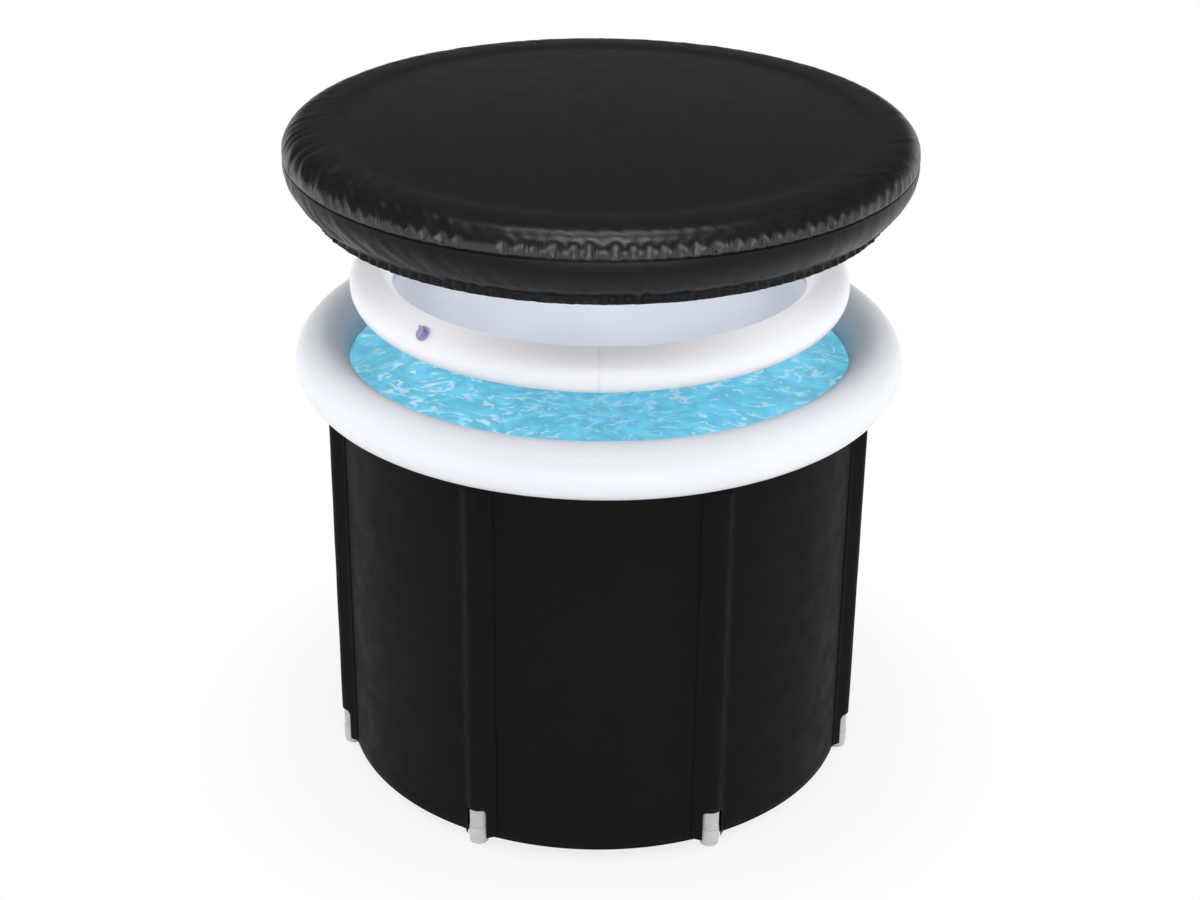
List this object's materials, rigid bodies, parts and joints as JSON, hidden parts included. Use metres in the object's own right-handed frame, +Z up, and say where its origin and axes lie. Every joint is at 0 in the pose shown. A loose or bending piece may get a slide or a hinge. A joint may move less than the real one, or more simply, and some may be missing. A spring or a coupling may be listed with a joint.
{
  "type": "folding bathtub",
  "caption": "Portable round folding bathtub: soft insulated wall on upright poles, inflated rim, inflated inner lid and gathered cloth cover, with a screw-capped drain.",
  "frame": {"origin": "on the floor under the middle of the round tub", "axes": "+Z up, -Y towards the front, +X to the right as seen from the front"},
  "size_m": [0.85, 0.85, 0.936],
  "materials": {
    "black_pvc": "satin coated fabric",
    "insulation_foam": "closed-cell foam",
    "pale_liner": "smooth coated fabric",
    "white_inflated_pvc": "soft gloss",
    "lid_sheet": "thin creased film",
    "lilac_valve": "clear tinted",
    "cover_cloth": "coated weave",
    "elastic": "braided",
    "grey_pole": "satin",
    "grey_foot": "satin",
    "drain_plastic": "moulded",
    "drain_rubber": "matt"
  },
  "bodies": {
    "tub": {"outer_skin": "black_pvc", "wall_foam": "insulation_foam", "inner_liner": "pale_liner", "base_panel": "black_pvc", "floor_foam": "insulation_foam", "floor_liner": "pale_liner", "sleeve_1": "black_pvc", "sleeve_2": "black_pvc", "sleeve_3": "black_pvc", "sleeve_4": "black_pvc", "sleeve_5": "black_pvc", "sleeve_6": "black_pvc", "sleeve_7": "black_pvc", "drain_body": "drain_plastic", "drain_nut": "drain_plastic", "drain_seal_outer": "drain_rubber", "drain_seal_inner": "drain_rubber"},
    "rim": {"rim_ring": "white_inflated_pvc", "rim_band": "black_pvc", "rim_valve": "lilac_valve"},
    "rim_plug": {"rim_plug": "lilac_valve"},
    "lid": {"lid_ring": "white_inflated_pvc", "lid_floor": "lid_sheet", "lid_valve": "lilac_valve"},
    "lid_plug": {"lid_plug": "lilac_valve"},
    "cover": {"cover_top": "cover_cloth", "cover_skirt": "cover_cloth", "cover_hem": "cover_cloth", "cover_elastic": "elastic"},
    "drain_washer": {"drain_washer": "drain_rubber"},
    "drain_cap": {"drain_cap": "drain_plastic"},
    "pole_1": {"pole_tube_1": "grey_pole", "pole_foot_1": "grey_foot", "pole_cap_1": "grey_foot"},
    "pole_2": {"pole_tube_2": "grey_pole", "pole_foot_2": "grey_foot", "pole_cap_2": "grey_foot"},
    "pole_3": {"pole_tube_3": "grey_pole", "pole_foot_3": "grey_foot", "pole_cap_3": "grey_foot"},
    "pole_4": {"pole_tube_4": "grey_pole", "pole_foot_4": "grey_foot", "pole_cap_4": "grey_foot"},
    "pole_5": {"pole_tube_5": "grey_pole", "pole_foot_5": "grey_foot", "pole_cap_5": "grey_foot"},
    "pole_6": {"pole_tube_6": "grey_pole", "pole_foot_6": "grey_foot", "pole_cap_6": "grey_foot"},
    "pole_7": {"pole_tube_7": "grey_pole", "pole_foot_7": "grey_foot", "pole_cap_7": "grey_foot"}
  },
  "joints": [
    {"name": "wall_fold", "type": "slide", "parent": "tub", "child": "rim", "axis": [0, 0, -1], "range_m": [0, 0.45], "deforming": ["outer_skin", "wall_foam", "inner_liner", "sleeve_1", "sleeve_2", "sleeve_3", "sleeve_4", "sleeve_5", "sleeve_6", "sleeve_7"]},
    {"name": "pole_pull_1", "type": "slide", "parent": "tub", "child": "pole_1", "axis": [0, 0, -1], "range_m": [0, 0.55]},
    {"name": "pole_pull_2", "type": "slide", "parent": "tub", "child": "pole_2", "axis": [0, 0, -1], "range_m": [0, 0.55]},
    {"name": "pole_pull_3", "type": "slide", "parent": "tub", "child": "pole_3", "axis": [0, 0, -1], "range_m": [0, 0.55]},
    {"name": "pole_pull_4", "type": "slide", "parent": "tub", "child": "pole_4", "axis": [0, 0, -1], "range_m": [0, 0.55]},
    {"name": "pole_pull_5", "type": "slide", "parent": "tub", "child": "pole_5", "axis": [0, 0, -1], "range_m": [0, 0.55]},
    {"name": "pole_pull_6", "type": "slide", "parent": "tub", "child": "pole_6", "axis": [0, 0, -1], "range_m": [0, 0.55]},
    {"name": "pole_pull_7", "type": "slide", "parent": "tub", "child": "pole_7", "axis": [0, 0, -1], "range_m": [0, 0.55]},
    {"name": "lid_lift", "type": "slide", "parent": "rim", "child": "lid", "axis": [0, 0, 1], "range_m": [-0.0995, 0.25]},
    {"name": "cover_lift", "type": "slide", "parent": "lid", "child": "cover", "axis": [0, 0, 1], "range_m": [-0.186, 0.25]},
    {"name": "rim_plug_pull", "type": "slide", "parent": "rim", "child": "rim_plug", "axis": [-0.1983, -0.7399, 0.6428], "range_m": [0, 0.0045]},
    {"name": "lid_plug_pull", "type": "slide", "parent": "lid", "child": "lid_plug", "axis": [-0.5126, -0.5693, 0.6428], "range_m": [0, 0.0045]},
    {"name": "drain_cap_travel", "type": "slide", "parent": "tub", "child": "drain_washer", "axis": [0.4337, 0.9011, 0], "range_m": [0, 0.0241]},
    {"name": "drain_cap_turn", "type": "hinge", "parent": "drain_washer", "child": "drain_cap", "pos_m": [0.15785, 0.32799, 0.048], "axis": [0.4337, 0.9011, 0], "range_deg": [0, 2160]}
  ],
  "couplings": [
    {"joint": "pole_pull_1", "follows": "wall_fold", "ratio": 1.2222},
    {"joint": "pole_pull_2", "follows": "wall_fold", "ratio": 1.2222},
    {"joint": "pole_pull_3", "follows": "wall_fold", "ratio": 1.2222},
    {"joint": "pole_pull_4", "follows": "wall_fold", "ratio": 1.2222},
    {"joint": "pole_pull_5", "follows": "wall_fold", "ratio": 1.2222},
    {"joint": "pole_pull_6", "follows": "wall_fold", "ratio": 1.2222},
    {"joint": "pole_pull_7", "follows": "wall_fold", "ratio": 1.2222},
    {"joint": "drain_cap_travel", "follows": "drain_cap_turn", "m_per_rad": 0.00063662}
  ]
}
